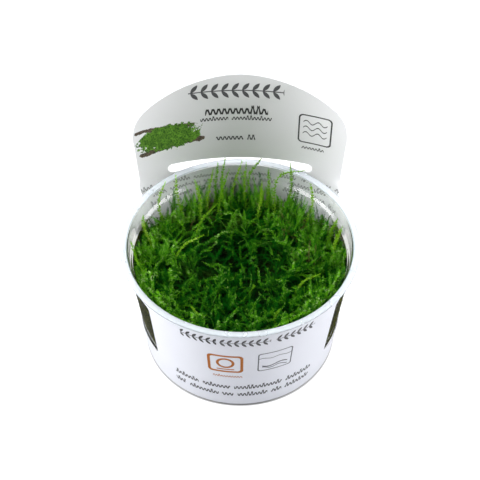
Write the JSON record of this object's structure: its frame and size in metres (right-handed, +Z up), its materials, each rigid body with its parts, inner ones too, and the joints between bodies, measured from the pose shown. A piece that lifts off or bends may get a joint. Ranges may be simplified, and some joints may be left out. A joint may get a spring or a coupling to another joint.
{
  "type": "tissue culture christmas moss",
  "caption": "Clear flanged plastic cup of living moss, wrapped in a thin printed sleeve with side windows and a tall arched header behind the open mouth.",
  "frame": {"origin": "middle of the cup's foot, on the surface that it stands on", "axes": "+Z up out of the cup's mouth, -Y out of the front of the label, +X to the right seen from the front"},
  "size_m": [0.095, 0.095, 0.1024],
  "materials": {
    "clear_plastic": "clear thin-walled moulded plastic, smooth and glossy",
    "printed_sheet": "white printed sheet with a satin face, grey and black print and a few small coloured marks",
    "moss": "deep green leafy moss, matt, with lighter tips and a few brown stems",
    "moss_shoot": "fresh yellow-green young moss stems with small leaves, slightly translucent"
  },
  "bodies": {
    "root": {"cup": "clear_plastic", "label_sleeve": "printed_sheet", "moss_cushion": "moss", "moss_tuft_01": "moss", "moss_tuft_02": "moss", "moss_tuft_03": "moss", "moss_tuft_04": "moss", "moss_tuft_05": "moss", "moss_tuft_06": "moss", "moss_tuft_07": "moss", "moss_tuft_08": "moss", "moss_tuft_09": "moss", "moss_tuft_10": "moss", "moss_tuft_11": "moss", "moss_tuft_12": "moss", "moss_tuft_13": "moss", "moss_tuft_14": "moss", "moss_tuft_15": "moss", "moss_tuft_16": "moss", "moss_tuft_17": "moss", "moss_tuft_18": "moss", "moss_tuft_19": "moss", "moss_shoot_01": "moss_shoot", "moss_shoot_02": "moss_shoot", "moss_shoot_03": "moss_shoot", "moss_shoot_04": "moss_shoot", "moss_shoot_05": "moss_shoot", "moss_shoot_06": "moss_shoot", "moss_shoot_07": "moss_shoot", "moss_shoot_08": "moss_shoot", "moss_shoot_09": "moss_shoot", "moss_shoot_10": "moss_shoot", "moss_shoot_11": "moss_shoot", "moss_shoot_12": "moss_shoot", "moss_shoot_13": "moss_shoot", "moss_shoot_14": "moss_shoot", "moss_shoot_15": "moss_shoot", "moss_shoot_16": "moss_shoot", "moss_shoot_17": "moss_shoot", "moss_shoot_18": "moss_shoot", "moss_shoot_19": "moss_shoot", "moss_shoot_20": "moss_shoot", "moss_shoot_21": "moss_shoot", "moss_shoot_22": "moss_shoot", "moss_shoot_23": "moss_shoot", "moss_shoot_24": "moss_shoot", "moss_shoot_25": "moss_shoot"}
  },
  "joints": []
}
